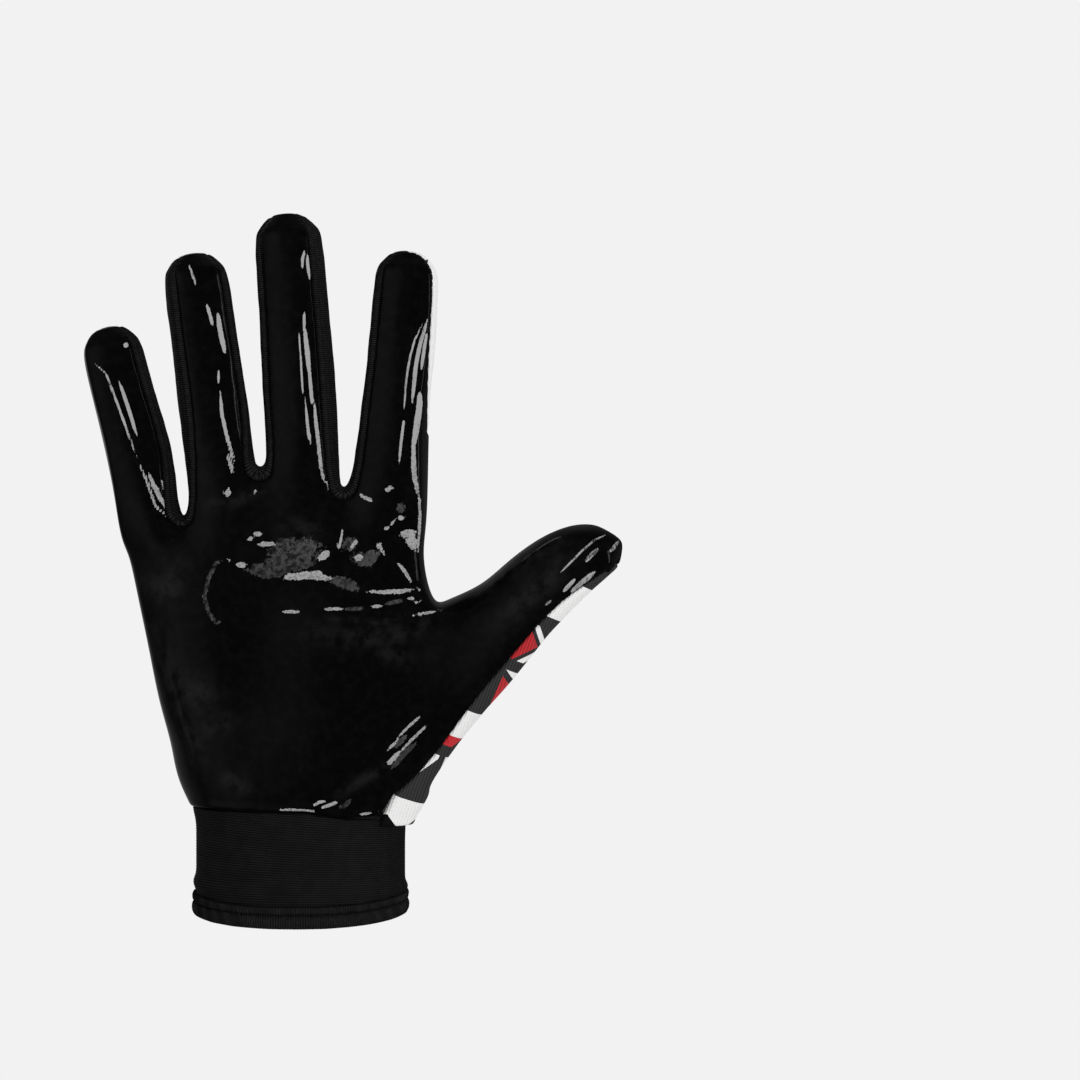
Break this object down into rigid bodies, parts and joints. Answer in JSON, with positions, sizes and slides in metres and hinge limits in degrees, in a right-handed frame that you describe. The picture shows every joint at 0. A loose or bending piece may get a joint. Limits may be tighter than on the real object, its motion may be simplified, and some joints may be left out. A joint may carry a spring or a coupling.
{
  "type": "football receiver glove",
  "caption": "Full-finger sports glove for the right hand: glossy grip palm, printed stretch back, ribbed gussets between the fingers and a knitted pull-on cuff.",
  "frame": {"origin": "middle of the wrist opening, at the hem's lower edge", "axes": "+Z from the wrist to the fingertips, -Y out of the palm, +X towards the thumb"},
  "size_m": [0.1739, 0.0508, 0.2283],
  "materials": {
    "palm": "glossy",
    "back": "printed knit",
    "gusset": "ribbed knit",
    "cuff": "ribbed knit",
    "hem": "overlocked knit"
  },
  "bodies": {
    "root": {"palm_hand": "palm", "back_hand": "back", "palm_little": "palm", "back_little": "back", "palm_ring": "palm", "back_ring": "back", "palm_middle": "palm", "back_middle": "back", "palm_index": "palm", "back_index": "back", "palm_thumb": "palm", "back_thumb": "back", "gusset_little_ring": "gusset", "gusset_ring_middle": "gusset", "gusset_middle_index": "gusset", "cuff": "cuff", "hem": "hem"}
  },
  "joints": []
}
